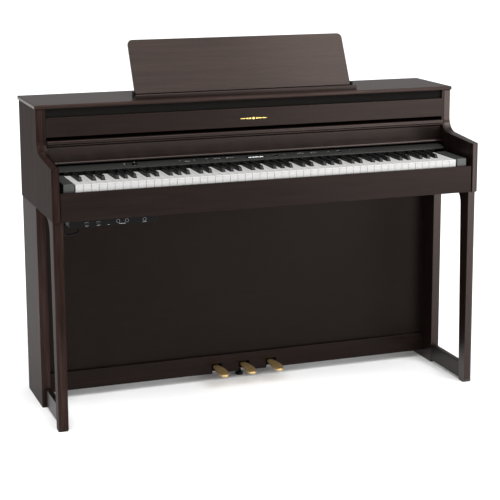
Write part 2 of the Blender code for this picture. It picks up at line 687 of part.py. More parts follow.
def pedal_rail():
    half = LEG_IN - GAP
    rear = KNEE_FRONT + KNEE_THICK
    rail = board("pedal_rail", (-half, half), (PEDAL_RAIL_FRONT, rear), (PEDAL_RAIL_BOTTOM, PEDAL_RAIL_TOP),
                 ROSEWOOD)
    for place in (-1, 0, 1):
        x = place * PEDAL_SPACING
        low = (x - PEDAL_SLOT / 2, back(PEDAL_RAIL_FRONT - 0.01), PEDAL_RAIL_BOTTOM - 0.01)
        slot = block(low, (x + PEDAL_SLOT / 2, back(rear + 0.01), PEDAL_SLOT_TOP))
        boolean(rail, add(f"pedal_slot_{place}", slot, ROSEWOOD), "DIFFERENCE")
    bevel(rail, 0.0012)
    wall = PEDAL_BOX_WALL
    front = rear + GAP
    box = board("pedal_box", (-PEDAL_BOX_HALF, PEDAL_BOX_HALF), (front, PEDAL_BOX_REAR),
                (PEDAL_RAIL_BOTTOM, PEDAL_RAIL_TOP), DARK_BOARD)
    hollow = block((wall - PEDAL_BOX_HALF, back(front - 0.01), PEDAL_RAIL_BOTTOM + wall),
                   (PEDAL_BOX_HALF - wall, back(PEDAL_BOX_REAR) - wall, PEDAL_RAIL_TOP - wall))
    boolean(box, add("pedal_box_hollow", hollow, DARK_BOARD), "DIFFERENCE")
    foot = turned([(0, 0), (0.013, 0), (0.013, 0.010), (0.005, 0.011), (0.005, PEDAL_RAIL_BOTTOM - GAP),
                   (0, PEDAL_RAIL_BOTTOM - GAP)], 16)
    smooth(add("adjuster_foot", foot, SATIN_BLACK, (0, back(rear + 0.024), 0)))


def socket_box():
    left = SOCKET_BOX_LEFT
    rear = SOCKET_BOX_FRONT + SOCKET_BOX_DEPTH
    bottom = CABINET_BOTTOM - GAP - SOCKET_BOX_HEIGHT
    box = board("socket_box", (left, left + SOCKET_BOX_WIDTH), (SOCKET_BOX_FRONT, rear),
                (bottom, CABINET_BOTTOM - GAP), SATIN_BLACK)
    bevel(box, 0.0012)
    middle = bottom + SOCKET_BOX_HEIGHT / 2
    for number, x in enumerate(JACKS):
        hole = turned([(0, -0.01), (JACK_RADIUS, -0.01), (JACK_RADIUS, JACK_DEPTH), (0, JACK_DEPTH)], 12)
        place = (left + x, back(SOCKET_BOX_FRONT), middle)
        shape = add(f"jack_hole_{number}", hole, SATIN_BLACK, place, -math.pi / 2)
        boolean(box, shape, "DIFFERENCE")
    for number, x in enumerate(USB_PORTS):
        hole = block((left + x - 0.0065, back(SOCKET_BOX_FRONT - 0.01), middle - 0.003),
                     (left + x + 0.0065, back(SOCKET_BOX_FRONT + 0.018), middle + 0.003))
        boolean(box, add(f"usb_hole_{number}", hole, SATIN_BLACK), "DIFFERENCE")


def power_inlet():
    """A round power socket on the underside, near the back edge of the cabinet."""
    top = CABINET_BOTTOM - GAP
    rear = SIDE_REAR - REAR_LIP
    x = INLET_INSET - LEG_IN
    inlet = board("power_inlet", (x - 0.012, x + 0.012), (rear - 0.020, rear), (top - 0.016, top),
                  SATIN_BLACK)
    hole = turned([(0, -0.01), (0.0036, -0.01), (0.0036, 0.014), (0, 0.014)], 12)
    shape = add("inlet_hole", hole, SATIN_BLACK, (x, back(rear), top - 0.008), math.pi / 2)
    boolean(inlet, shape, "DIFFERENCE")


def headphone_hook():
    """A bent wire screwed up under the keybed, just inside the left arm."""
    top = CABINET_BOTTOM - GAP
    route = [(0, 0, HOOK_DROP), (0, 0, 0.008), (0.004, 0.002, 0.002), (0.010, 0.006, 0),
             (0.042, 0.026, 0), (0.047, 0.029, 0.002), (0.050, 0.031, 0.007), (0.051, 0.032, 0.014)]
    curve = bpy.data.curves.new("headphone_hook", "CURVE")
    curve.dimensions = "3D"
    curve.bevel_depth = 0.0028
    curve.bevel_resolution = 2
    curve.use_fill_caps = True
    spline = curve.splines.new("POLY")
    spline.points.add(len(route) - 1)
    for point, place in zip(spline.points, route):
        point.co = (*place, 1)
    hook = bpy.data.objects.new("headphone_hook", curve)
    hook.location = (HOOK_INSET - LEG_IN, back(0.062), top - HOOK_DROP)
    curve.materials.append(material("headphone_hook", SATIN_BLACK))
    bpy.context.scene.collection.objects.link(hook)


def sound_and_circuits():
    r = SPEAKER_RADIUS
    cone = [(0, 0.016), (0.012, 0.016), (r - 0.012, 0.003), (r - 0.009, 0), (r, 0), (r, 0.004),
            (r - 0.008, 0.006), (r * 0.58, 0.034), (r * 0.58, 0.050), (0, 0.050)]
    depth = 0.026
    t = TWEETER_RADIUS
    dome = [(0, 0.003), (t * 0.6, 0.002), (t, 0), (t, 0.004), (t * 0.7, 0.006), (t * 0.7, depth), (0, depth)]
    for side, sign in (("left", -1), ("right", 1)):
        smooth(add(f"speaker_{side}", turned(cone, 28), SATIN_BLACK,
                   (sign * SPEAKER_X, back(SPEAKER_Y), KEYBED_TOP)))
        place = (sign * TWEETER_X, back(UPPER_FRONT + GRILLE_SETBACK + GRILLE_THICK + GAP * 3),
                 TOP_UNDER - SLOT_HEIGHT / 2)
        smooth(add(f"tweeter_{side}", turned(dome, 16), SATIN_BLACK, place, -math.pi / 2))
    for name, x in (("main_board", (0.05, 0.33)), ("power_board", (-0.33, -0.08))):
        depth_range = (BLACK_TAIL_END + 0.026, BACK_FRONT - 0.030)
        board(name, x, depth_range, (KEYBED_TOP + 0.006, KEYBED_TOP + 0.008), CIRCUIT)


def build():
    clear_scene()
    side_boards()
    lid_guides()
    top_board()
    upper_front()
    case_boards()
    key_bed_parts()
    keyboard()
    lid()
    control_panel()
    music_rest()
    stand()
    pedals()
    pedal_rail()
    socket_box()
    power_inlet()
    headphone_hook()
    sound_and_circuits()


build()
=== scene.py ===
"""The looks of a digital piano on its stand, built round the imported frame.

Metres, +Z up. The player's side faces -Y, and the origin is on the floor under the middle.
"""

import math

import bmesh
import bpy
from mathutils import Matrix, Vector


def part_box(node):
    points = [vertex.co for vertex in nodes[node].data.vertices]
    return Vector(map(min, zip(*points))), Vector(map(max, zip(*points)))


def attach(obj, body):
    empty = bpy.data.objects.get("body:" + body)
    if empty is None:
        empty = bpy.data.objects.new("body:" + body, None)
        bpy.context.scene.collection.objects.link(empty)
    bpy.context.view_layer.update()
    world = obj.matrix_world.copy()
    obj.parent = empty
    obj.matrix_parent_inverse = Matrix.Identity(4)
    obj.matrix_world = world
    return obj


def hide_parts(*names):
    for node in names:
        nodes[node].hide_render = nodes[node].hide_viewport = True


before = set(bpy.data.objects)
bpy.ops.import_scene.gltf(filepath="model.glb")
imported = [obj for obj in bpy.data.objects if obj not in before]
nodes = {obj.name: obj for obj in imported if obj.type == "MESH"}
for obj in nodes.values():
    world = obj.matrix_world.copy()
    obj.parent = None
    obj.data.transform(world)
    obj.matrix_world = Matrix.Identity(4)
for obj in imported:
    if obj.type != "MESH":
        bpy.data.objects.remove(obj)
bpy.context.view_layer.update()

# Camera: at standing height before the bass end, with a long lens. Its frame is dropped a little, which
# keeps the piano's uprights nearly parallel.
CAMERA_TILT = 0.195
CAMERA_TURN = 0.3635
camera_data = bpy.data.cameras.new("camera")
camera_data.sensor_width = 36.0
camera_data.lens = 107.7
camera_data.shift_x = -0.0675
camera_data.shift_y = -0.100
camera = bpy.data.objects.new("camera", camera_data)
camera.location = (-1.5584, -4.3880, 1.5327)
camera.rotation_euler = (math.pi / 2 - CAMERA_TILT, 0, -CAMERA_TURN)
bpy.context.scene.collection.objects.link(camera)
bpy.context.scene.camera = camera
bpy.context.scene.view_settings.view_transform = "Standard"


# Studio: a pale floor that runs past the edge of the view, an even pale surround, and a broad soft light from
# above and before. Two large soft boxes stand before the treble end, one low and one high, and a narrow one
# at the left picks out the rounded edges.
class Wire:
    """An output of a material's node. A sum or a product of it adds the Math node that does it."""

    def __init__(self, finish, socket):
        self.finish = finish
        self.socket = socket

    def math(self, operation, other):
        return self.finish.add("ShaderNodeMath", {"operation": operation}, {0: self, 1: other})

    def __add__(self, other):
        return self.math("ADD", other)

    def __mul__(self, other):
        return self.math("MULTIPLY", other)

    __radd__ = __add__
    __rmul__ = __mul__


class Finish:
    """A material, with the nodes that feed its Principled shader."""

    def __init__(self, name, **constants):
        self.material = bpy.data.materials.new(name)
        self.material.use_nodes = True
        self.tree = self.material.node_tree
        self.shader = self.tree.nodes["Principled BSDF"]
        self.feed(**constants)

    def connect(self, node, sockets):
        for key, value in sockets.items():
            if isinstance(value, Wire):
                self.tree.links.new(value.socket, node.inputs[key])
            else:
                node.inputs[key].default_value = value

    def feed(self, **sockets):
        """Sets or links the shader's sockets, named with underscores."""
        titles = {name: name.replace("_", " ").title().replace("Ior", "IOR") for name in sockets}
        self.connect(self.shader, {titles[name]: value for name, value in sockets.items()})

    def add(self, kind, settings=None, sockets=None, output=0):
        """Adds a node, with its settings and then its sockets' values or wires."""
        node = self.tree.nodes.new(kind)
        for name, value in (settings or {}).items():
            if name == "stops":
                while len(node.color_ramp.elements) < len(value):
                    node.color_ramp.elements.new(1.0)
                for stop, (position, colour) in zip(node.color_ramp.elements, value):
                    stop.position = position
                    stop.color = (*colour, 1.0)
            else:
                setattr(node, name, value)
        self.connect(node, sockets or {})
        return Wire(self, node.outputs[output])

    def noise(self, waves, detail=4.0, rough=0.55, offset=(0, 0, 0)):
        """Noise on object coordinates, in waves a metre: one number, or one for each axis."""
        scale = waves if isinstance(waves, (tuple, list)) else (waves, waves, waves)
        place = self.add("ShaderNodeTexCoord", output="Object")
        place = self.add("ShaderNodeMapping", {}, {"Vector": place, "Location": offset, "Scale": scale})
        sockets = {"Vector": place, "Scale": 1.0, "Detail": detail, "Roughness": rough}
        return self.add("ShaderNodeTexNoise", {}, sockets)

    def ramp(self, value, *stops):
        return self.add("ShaderNodeValToRGB", {"stops": stops}, {"Fac": value})

    def between(self, value, dark, pale, low=0.3, high=0.7):
        """A colour that goes from dark to pale as the value goes from low to high."""
        return self.ramp(value, (low, dark), (high, pale))

    def bump(self, height, strength, depth):
        sockets = {"Height": height, "Strength": strength, "Distance": depth}
        self.feed(normal=self.add("ShaderNodeBump", {}, sockets))


def made(name, bm, finish):
    """Turns a bmesh into an object at the origin, with its faces outwards."""
    bmesh.ops.remove_doubles(bm, verts=bm.verts, dist=1e-7)
    bmesh.ops.recalc_face_normals(bm, faces=bm.faces)
    mesh = bpy.data.meshes.new(name)
    bm.to_mesh(mesh)
    bm.free()
    mesh.materials.append(finish.material)
    piece = bpy.data.objects.new(name, mesh)
    bpy.context.scene.collection.objects.link(piece)
    return piece


FLOOR_SIZE = 60.0
FLOOR_DARK = (0.89, 0.89, 0.89)
FLOOR_PALE = (0.91, 0.91, 0.91)
studio_floor = Finish("studio_floor", roughness=0.9, specular_ior_level=0.2)
mottle = studio_floor.noise(1.5, 2.0)
studio_floor.feed(base_color=studio_floor.between(mottle, FLOOR_DARK, FLOOR_PALE))
bm = bmesh.new()
bmesh.ops.create_grid(bm, x_segments=1, y_segments=1, size=FLOOR_SIZE)
floor = made("floor", bm, studio_floor)

SURROUND_STRENGTH = 0.42
world = bpy.data.worlds.new("studio")
world.use_nodes = True
surround = world.node_tree.nodes["Background"]
surround.inputs["Color"].default_value = (1.0, 1.0, 1.0, 1.0)
surround.inputs["Strength"].default_value = SURROUND_STRENGTH
bpy.context.scene.world = world


def lamp(name, kind, place, target, energy, **sizes):
    """Sets up a light that faces its target and stays out of the view."""
    data = bpy.data.lights.new(name, kind)
    data.energy = energy
    for key, value in sizes.items():
        setattr(data, key, value)
    light = bpy.data.objects.new(name, data)
    light.visible_camera = False
    light.location = place
    light.rotation_euler = (Vector(place) - Vector(target)).to_track_quat("Z", "Y").to_euler()
    bpy.context.scene.collection.objects.link(light)


lamp("overhead", "SUN", (-0.5, -1.7, 3.8), (0, 0, 0), 4.0, angle=math.radians(70))
lamp("right_box", "AREA", (2.2, -3.0, 1.0), (0.4, 0, 0.7), 60, shape="RECTANGLE", size=2.0, size_y=1.8)
lamp("high_box", "AREA", (2.7, -2.4, 3.7), (0.2, 0, 1.0), 75, shape="RECTANGLE", size=2.0, size_y=2.0)
lamp("left_strip", "AREA", (-2.5, -2.9, 1.0), (-0.65, 0, 0.7), 18, shape="RECTANGLE", size=0.3, size_y=2.0)

# Boards of the cabinet and the stand: pressed board under a dark rosewood veneer with a satin lacquer, joined
# with screws and cam fittings. The grain runs along each board, so it stands up in the sides and the legs.
DARK_STREAK = (0.0048, 0.0026, 0.0021)
MID_BROWN = (0.0105, 0.0060, 0.0050)
PALE_STREAK = (0.0190, 0.0115, 0.0095)
BROWN_STOPS = (0.34, 0.50, 0.66)
WARM_LACQUER = (1.0, 0.80, 0.73, 1.0)
# Waves a metre along the grain and across it.
BROAD_BANDS = (4.0, 75.0)
FINE_STREAKS = (8.0, 520.0)
PORES = (70.0, 1900.0)


def rosewood(axis, offset=0.0, gloss=0.14, dullness=0.30, depth=0.55):
    """The veneer with its grain along an axis. OFFSET moves the figure, and DEPTH scales its colour: boards
    get paler or darker copies of one veneer, as painted light and shade.
    """
    name = f"rosewood_{axis}_{round(offset * 10)}"
    finish = Finish(name, specular_ior_level=gloss, specular_tint=WARM_LACQUER)

    def scales(waves):
        return [waves[0] if letter == axis else waves[1] for letter in "xyz"]

    broad = finish.noise(scales(BROAD_BANDS), offset=(offset, offset, offset))
    streaks = finish.noise(scales(FINE_STREAKS), 3.0, offset=(0, offset, 0))
    pores = finish.noise(scales(PORES), 2.0, 0.5)
    browns = [[depth * part for part in brown] for brown in (DARK_STREAK, MID_BROWN, PALE_STREAK)]
    tone = finish.ramp(broad * 0.50 + streaks * 0.50, *zip(BROWN_STOPS, browns))
    finish.feed(base_color=tone, roughness=dullness - 0.06 + streaks * 0.08 + pores * 0.04)
    finish.bump(streaks * 0.5 + pores * 0.5, 0.08, 0.0003)
    return finish


def clad(finish, *names):
    """Gives nodes of the frame a finish."""
    for name in names:
        nodes[name].material_slots[0].material = finish.material


clad(rosewood("x"), "upper_panel", "lid_plate")
clad(rosewood("x", 0.9, gloss=0.11, depth=0.45), "key_slip", "pedal_rail")
clad(rosewood("x", 1.3, gloss=0.24), "lid_rail", "music_ledge")
clad(rosewood("x", 1.9, gloss=0.40), "lower_board")
clad(rosewood("x", 1.7, depth=1.6), "top_board")
clad(rosewood("x", 2.9, gloss=0.20, dullness=0.22, depth=0.7), "music_rest")
clad(rosewood("z", 0.3), "lid_guide_left", "lid_guide_right")
# The left-hand side board and legs get the palest copies of the veneer, as painted light on that side.
clad(rosewood("z", 3.7, gloss=0.006, dullness=0.42, depth=1.5), "side_board_left")
clad(rosewood("z", 3.3, gloss=0.03, dullness=0.42, depth=1.7), "rear_leg_left", "front_leg_left")
clad(rosewood("z", 2.1, gloss=0.34), "side_board_right", "rear_leg_right", "front_leg_right")
clad(rosewood("y"), "foot_rail_left", "foot_rail_right")

# Plain boards: the bed under the keys with its pivot rail, the knee panel, the back panel and the pedal box.
# They are pressed board with a dark printed foil, screwed to the veneered ones.
FOIL_DARK = (0.0026, 0.0016, 0.0012)
FOIL_PALE = (0.0052, 0.0034, 0.0028)
plain_board = Finish("plain_board", specular_ior_level=0.10, specular_tint=WARM_LACQUER)
fibres = plain_board.noise((26.0, 260.0, 260.0))
patches = plain_board.noise(2.2, 2.0)
tone = plain_board.between(fibres * 0.6 + patches * 0.4, FOIL_DARK, FOIL_PALE, 0.35, 0.65)
plain_board.feed(base_color=tone, roughness=0.34 + fibres * 0.10)
plain_board.bump(fibres, 0.08, 0.0004)
clad(plain_board, "keybed", "knee_panel", "back_panel", "pedal_box", "key_pivot_rail")

# Speaker cloth: a close black weave for the small upper speakers. It is stretched over a strip that is let in
# under the top board.
CLOTH_DARK = (0.0026, 0.0023, 0.0020)
CLOTH_PALE = (0.0140, 0.0125, 0.0112)
WEAVE = 180.0
speaker_cloth = Finish("speaker_cloth", roughness=0.85, specular_ior_level=0.08)
place = speaker_cloth.add("ShaderNodeTexCoord", output="Object")
threads = [
    speaker_cloth.add(
        "ShaderNodeTexWave", {"bands_direction": axis, "wave_profile": "SIN"},
        {"Vector": place, "Scale": WEAVE, "Distortion": 0.4, "Detail": 1.0}, output="Fac")
    for axis in "XZ"
]
crossings = threads[0] * threads[1]
speaker_cloth.feed(base_color=speaker_cloth.between(crossings, CLOTH_DARK, CLOTH_PALE, 0.1, 0.8))
speaker_cloth.bump(crossings, 0.5, 0.0003)
clad(speaker_cloth, "speaker_grille")

# Inlay: a small lozenge with a fine line at each side, in gold-coloured metal let into the upper panel. Each
# line is three bars, and every bar narrows outwards.
GOLD_DARK = (0.62, 0.42, 0.12)
GOLD_PALE = (0.80, 0.58, 0.20)
INLAY_PROUD = 0.0003
INLAY_RISE = 0.45  # as a share of the panel's height
LOZENGE = ((-0.0062, 0), (0, -0.0042), (0.0062, 0), (0, 0.0042))
# Each bar's near and far end, and half its width.
BARS = ((0.0085, 0.0160, 0.0026), (0.0180, 0.0275, 0.0020), (0.0295, 0.0440, 0.0014))
BAR_TAPER = 0.4
gold = Finish("gold_inlay", metallic=1.0)
brushed = gold.noise((60.0, 900.0, 900.0), 3.0)
gold.feed(base_color=gold.between(brushed, GOLD_DARK, GOLD_PALE), roughness=0.22 + brushed * 0.15)
panel_low, panel_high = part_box("upper_panel")
inlay_height = panel_low.z + INLAY_RISE * (panel_high.z - panel_low.z)


def swept(bm, faces, vector):
    """Extrudes faces along a vector, and returns the moved faces and their corners."""
    grown = bmesh.ops.extrude_face_region(bm, geom=faces)["geom"]
    corners = [v for v in grown if isinstance(v, bmesh.types.BMVert)]
    bmesh.ops.translate(bm, verts=corners, vec=vector)
    return [f for f in grown if isinstance(f, bmesh.types.BMFace)], corners


outlines = [LOZENGE]
for side in (-1, 1):
    for near, far, half in BARS:
        tip = half * BAR_TAPER
        outlines.append(((side * near, -half), (side * far, -tip), (side * far, tip), (side * near, half)))
bm = bmesh.new()
for outline in outlines:
    face = bm.faces.new([bm.verts.new((x, panel_low.y, inlay_height + z)) for x, z in outline])
    swept(bm, [face], (0, -INLAY_PROUD, 0))
inlay = made("panel_inlay", bm, gold)
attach(inlay, "cabinet")

# White keys: moulded key tops with a slight overhang at the front, in an off-white with a faint ivory figure.
# Their backs run in under the control panel to the pivots, so each key is cut away beside the black ones.
IVORY_DARK = (0.392, 0.389, 0.382)
IVORY_PALE = (0.432, 0.429, 0.422)
KEY_COUNT = 52
KEY_SPLIT = 0.0010
SHOULDER = 0.049
KEY_PLATE = 0.0030
OVERHANG = 0.0011
OVERHANG_SLOPE = 0.0002
WHITE_EDGE = 0.0007
BLACK_SLOT = 0.0140
BLACK_SHIFT = {"C": -0.0022, "D": 0.0022, "F": -0.0032, "G": 0.0, "A": 0.0032}
LOW_BANK = range(0, 23)
HIGH_BANK = range(26, 52)
WHITE_KEYS = {
    "white_keys_low": LOW_BANK, "key_c": [23], "key_d": [24], "key_e": [25], "white_keys_high": HIGH_BANK,
}
TOUCH = 1e-5
key_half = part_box("key_frame")[1].x
pitch = 2 * key_half / KEY_COUNT
key_front, key_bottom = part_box("key_e")[0].yz
key_rear, key_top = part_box("key_e")[1].yz

ivory = Finish("ivory_white", specular_ior_level=0.36)
figure = ivory.noise((170.0, 12.0, 170.0), rough=0.6)
speckle = ivory.noise(900.0, 2.0)
ivory.feed(base_color=ivory.between(figure, IVORY_DARK, IVORY_PALE), roughness=0.30 + speckle * 0.12)
ivory.bump(figure * 0.6 + speckle * 0.4, 0.05, 0.0002)


def left_of(index):
    return index * pitch - key_half


def black_after(index):
    """The middle of the black key between this white key and the next, or None."""
    letter = "ABCDEFG"[index % 7]
    if 0 <= index < KEY_COUNT - 1 and letter in BLACK_SHIFT:
        return left_of(index + 1) + BLACK_SHIFT[letter]
    return None


def white_outline(index):
    """A white key's corners from above, with the parts beside the black keys cut away."""
    left, right = left_of(index) + KEY_SPLIT / 2, left_of(index + 1) - KEY_SPLIT / 2
    before, after = black_after(index - 1), black_after(index)
    step = key_front + SHOULDER
    outline = [(left, key_front), (right, key_front)]
    if after is not None:
        outline += [(right, step), (after - BLACK_SLOT / 2, step), (after - BLACK_SLOT / 2, key_rear)]
    else:
        outline.append((right, key_rear))
    if before is not None:
        outline += [(before + BLACK_SLOT / 2, key_rear), (before + BLACK_SLOT / 2, step), (left, step)]
    else:
        outline.append((left, key_rear))
    return outline


def raised(bm, face, rise):
    """Extrudes a face upwards, and returns the lifted face and its corners."""
    faces, corners = swept(bm, [face], (0, 0, rise))
    return faces[0], corners


def rounded(bm, edges, radius, segments):
    bmesh.ops.bevel(
        bm, geom=edges, offset=radius, segments=segments, profile=0.5, affect="EDGES", material=-1)


for name, indexes in WHITE_KEYS.items():
    bm = bmesh.new()
    edges = []
    for index in indexes:
        face = bm.faces.new([bm.verts.new((x, y, key_bottom)) for x, y in white_outline(index)])
        for v in face.verts:
            if v.co.y < key_front + TOUCH:
                v.co.y += OVERHANG
        face, _ = raised(bm, face, key_top - KEY_PLATE - key_bottom)
        face, lip = raised(bm, face, OVERHANG_SLOPE)
        for v in lip:
            if v.co.y < key_front + OVERHANG + TOUCH:
                v.co.y = key_front
        face, _ = raised(bm, face, KEY_PLATE - OVERHANG_SLOPE)
        edges += list(face.edges)
    rounded(bm, edges, WHITE_EDGE, 2)
    keys = made(f"{name}_tops", bm, ivory)
    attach(keys, name)
    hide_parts(name)

# Black keys: matt ebony-look mouldings with sloped fronts and sides that lean in. Thin tails run from them to
# the rear, under the control panel.
EBONY_DARK = (0.0015, 0.0015, 0.0016)
EBONY_PALE = (0.0035, 0.0035, 0.0037)
BLACK_KEYS = {
    "black_keys_low": LOW_BANK, "key_c_sharp": [23], "key_d_sharp": [24], "black_keys_high": HIGH_BANK,
}
BLACK_WIDTH = 0.0105
LEAN = 0.0011
LEAN_START = 0.0015  # over the tail's top
BLACK_EDGE = 0.0009
TAIL_CLEAR = 0.0014
TAIL_THICK = 0.0071
TAIL_STEP = 0.005
PANEL_CLEAR = 0.0010
CRISP = math.radians(25)
ebony = Finish("ebony_black", specular_ior_level=0.24)
fine_lines = ebony.noise((700.0, 60.0, 700.0), 3.0)
ebony.feed(base_color=ebony.between(fine_lines, EBONY_DARK, EBONY_PALE), roughness=0.40 + fine_lines * 0.08)
ebony.bump(fine_lines, 0.08, 0.0002)
plate_low, plate_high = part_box("control_panel")
front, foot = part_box("key_c_sharp")[0].yz
rear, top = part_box("key_c_sharp")[1].yz
shelf = plate_low.y - PANEL_CLEAR
tail_bottom = key_top + TAIL_CLEAR
tail_top = tail_bottom + TAIL_THICK
black_profile = (
    (front, foot), (front + 0.0004, key_top + 0.0010), (front + 0.0060, top - 0.0008), (front + 0.0085, top),
    (shelf, top), (shelf, tail_top), (rear, tail_top), (rear, tail_bottom), (shelf + TAIL_STEP, tail_bottom),
    (shelf + TAIL_STEP, foot),
)
for name, indexes in BLACK_KEYS.items():
    bm = bmesh.new()
    for index in indexes:
        middle = black_after(index)
        if middle is None:
            continue
        start = [bm.verts.new((middle - BLACK_WIDTH / 2, y, z)) for y, z in black_profile]
        _, corners = swept(bm, [bm.faces.new(start)], (BLACK_WIDTH, 0, 0))
        for v in start + corners:
            if v.co.z > tail_top + LEAN_START and v.co.y < shelf + TOUCH:
                v.co.x += LEAN if v.co.x < middle else -LEAN
    edges = [
        e for e in bm.edges
        if all(v.co.z > key_top and v.co.y < shelf + TOUCH for v in e.verts) and e.calc_face_angle(0) > CRISP
    ]
    rounded(bm, edges, BLACK_EDGE, 3)
    keys = made(f"{name}_tops", bm, ebony)
    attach(keys, name)
    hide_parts(name)

# Stop strip: black felt that hangs from the front edge of the panel, in lengths between the black keys. It
# closes the gap over the white ones as a dark sheet standing in for the shade under the panel, and is glued
# to the panel's underside.
FELT_DARK = (0.0020, 0.0020, 0.0020)
FELT_PALE = (0.0060, 0.0058, 0.0056)
FELT_CLEAR = 0.0066
FELT_LIFT = 0.0012
FELT_TUCK = 0.0001
FELT_THICK = 0.0022
FELT_EDGE = 0.0005
felt = Finish("black_felt", roughness=0.95, specular_ior_level=0.05)
nap = felt.noise(1200.0)
felt.feed(base_color=felt.between(nap, FELT_DARK, FELT_PALE))
felt.bump(nap, 0.6, 0.0006)


def cuboid(bm, place, *size):
    """A box with a width, a depth and a height, about the middle of its place."""
    bmesh.ops.create_cube(bm, size=1.0, matrix=place @ Matrix.Diagonal((*size, 1)))


blacks = [black_after(index) for index in range(KEY_COUNT) if black_after(index) is not None]
starts = [-key_half, *[x + FELT_CLEAR for x in blacks]]
ends = [*[x - FELT_CLEAR for x in blacks], key_half]
low_edge, high_edge = key_top + FELT_LIFT, plate_low.z + FELT_TUCK
bm = bmesh.new()
for start, end in zip(starts, ends):
    middle = ((start + end) / 2, plate_low.y + FELT_THICK, (low_edge + high_edge) / 2)
    cuboid(bm, Matrix.Translation(middle), end - start, FELT_THICK, high_edge - low_edge)
rounded(bm, list(bm.edges), FELT_EDGE, 1)
felt_and_shade_strip = made("stop_strip_and_shade", bm, felt)
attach(felt_and_shade_strip, "cabinet")

# Key bed fittings: grey plastic blocks at the ends of the keyboard, and the plated steel frame under the
# keys. All of them are screwed down to the keybed.
BLOCK_DARK = (0.030, 0.033, 0.031)
BLOCK_PALE = (0.038, 0.041, 0.039)
PLATED_DARK = (0.50, 0.50, 0.52)
PLATED_PALE = (0.66, 0.66, 0.67)
block_grey = Finish("block_grey", specular_ior_level=0.3)
grit = block_grey.noise(1500.0, 2.0)
block_grey.feed(base_color=block_grey.between(grit, BLOCK_DARK, BLOCK_PALE), roughness=0.26 + grit * 0.10)
block_grey.bump(grit, 0.12, 0.0002)
clad(block_grey, "key_block_left", "key_block_right")
plated = Finish("plated_steel", metallic=1.0)
spangle = plated.noise(120.0, 3.0)
plated.feed(base_color=plated.between(spangle, PLATED_DARK, PLATED_PALE), roughness=0.26 + spangle * 0.18)
clad(plated, "key_frame")

# Control panel: a satin dark grey plate over the backs of the keys, screwed up from behind. Its marks are
# printed in pale grey, and the touch pads are small flush discs, each with a lamp the size of a pinhead.
PANEL_DARK = (0.0180, 0.0184, 0.0174)
PANEL_PALE = (0.0232, 0.0236, 0.0224)
PRINT_DARK = (0.52, 0.53, 0.53)
PRINT_PALE = (0.64, 0.65, 0.65)
PAD_DARK = (0.0015, 0.0015, 0.0015)
PAD_PALE = (0.0030, 0.0030, 0.0030)
PANEL_PITCH = math.radians(9.5)
PANEL_DEPTH = 0.052
PANEL_ROUNDING = 0.0002
CONTROL_LINE = 0.024
PRINT_RISE = 0.00005
PRINT_THICK = 0.00010
PADS = (-0.245, -0.200, -0.132, -0.116, -0.093, -0.0715, 0.097, 0.145, 0.162, 0.189, 0.206, 0.249, 0.326)
PAD_PROFILE = ((0, 0.00001), (0.0029, 0.00001), (0.0029, 0.00025), (0.0024, 0.00055), (0, 0.00050))
PAD_SIDES = 20
LAMP_DROP = 0.0052
LAMP_RADIUS = 0.0005
LAMP_SIDES = 10
# Rows of marks: the rise over the control line, the marks' width and depth, and where they are.
MARKS = (
    (0.0, 0.0170, 0.0010, (-0.2225,)),
    (0.0105, 0.0200, 0.0006, (-0.1240, -0.0822, 0.1535, 0.1975)),
    (0.0095, 0.0060, 0.0014, (-0.4196, -0.158, 0.284)),
    (0.0115, 0.0090, 0.0012, (-0.390, 0.068)),
    (0.0066, 0.0042, 0.0011, PADS),
)
panel_grey = Finish("panel_grey", specular_ior_level=0.42)
orange_peel = panel_grey.noise(420.0, 2.0)
grime = panel_grey.noise((9.0, 30.0, 30.0), 3.0)
tone = panel_grey.between(grime, PANEL_DARK, PANEL_PALE)
panel_grey.feed(base_color=tone, roughness=0.24 + orange_peel * 0.10)
panel_grey.bump(orange_peel, 0.06, 0.0003)
clad(panel_grey, "control_panel")
print_grey = Finish("print_grey", roughness=0.5, specular_ior_level=0.3)
ink = print_grey.noise(1800.0, 2.0)
print_grey.feed(base_color=print_grey.between(ink, PRINT_DARK, PRINT_PALE))
pad_black = Finish("pad_black", specular_ior_level=0.15)
pad_grit = pad_black.noise(1600.0, 2.0)
pad_black.feed(base_color=pad_black.between(pad_grit, PAD_DARK, PAD_PALE), roughness=0.18 + pad_grit * 0.10)
edge_height = plate_high.z + PANEL_ROUNDING - PANEL_DEPTH * math.sin(PANEL_PITCH)
panel_edge = Vector((0, plate_low.y - PANEL_ROUNDING, edge_height))
panel_turn = Matrix.Rotation(PANEL_PITCH, 4, "X")


def panel_spot(x, up=CONTROL_LINE, rise=0.0):
    """The place and turn of something on the panel: UP from its front edge, RISE above its face."""
    return Matrix.Translation(panel_edge) @ panel_turn @ Matrix.Translation((x, up, rise))


def flat_mark(bm, place, width, depth):
    """A flat oblong on the panel, which is thickened later."""
    flat = place @ Matrix.Diagonal((width, depth, 1, 1))
    bmesh.ops.create_grid(bm, x_segments=1, y_segments=1, size=0.5, matrix=flat)


def thickened(bm, thickness):
    """Gives everything flat on the panel a thickness, square to the panel."""
    swept(bm, list(bm.faces), panel_turn @ Vector((0, 0, thickness)))


bm = bmesh.new()
for x in PADS:
    spot = panel_spot(x, CONTROL_LINE - LAMP_DROP, PRINT_RISE)
    bmesh.ops.create_circle(bm, cap_ends=True, segments=LAMP_SIDES, radius=LAMP_RADIUS, matrix=spot)
for rise, width, depth, row in MARKS:
    for x in row:
        flat_mark(bm, panel_spot(x, CONTROL_LINE + rise, PRINT_RISE), width, depth)
thickened(bm, PRINT_THICK)
marks = made("panel_marks", bm, print_grey)
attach(marks, "cabinet")


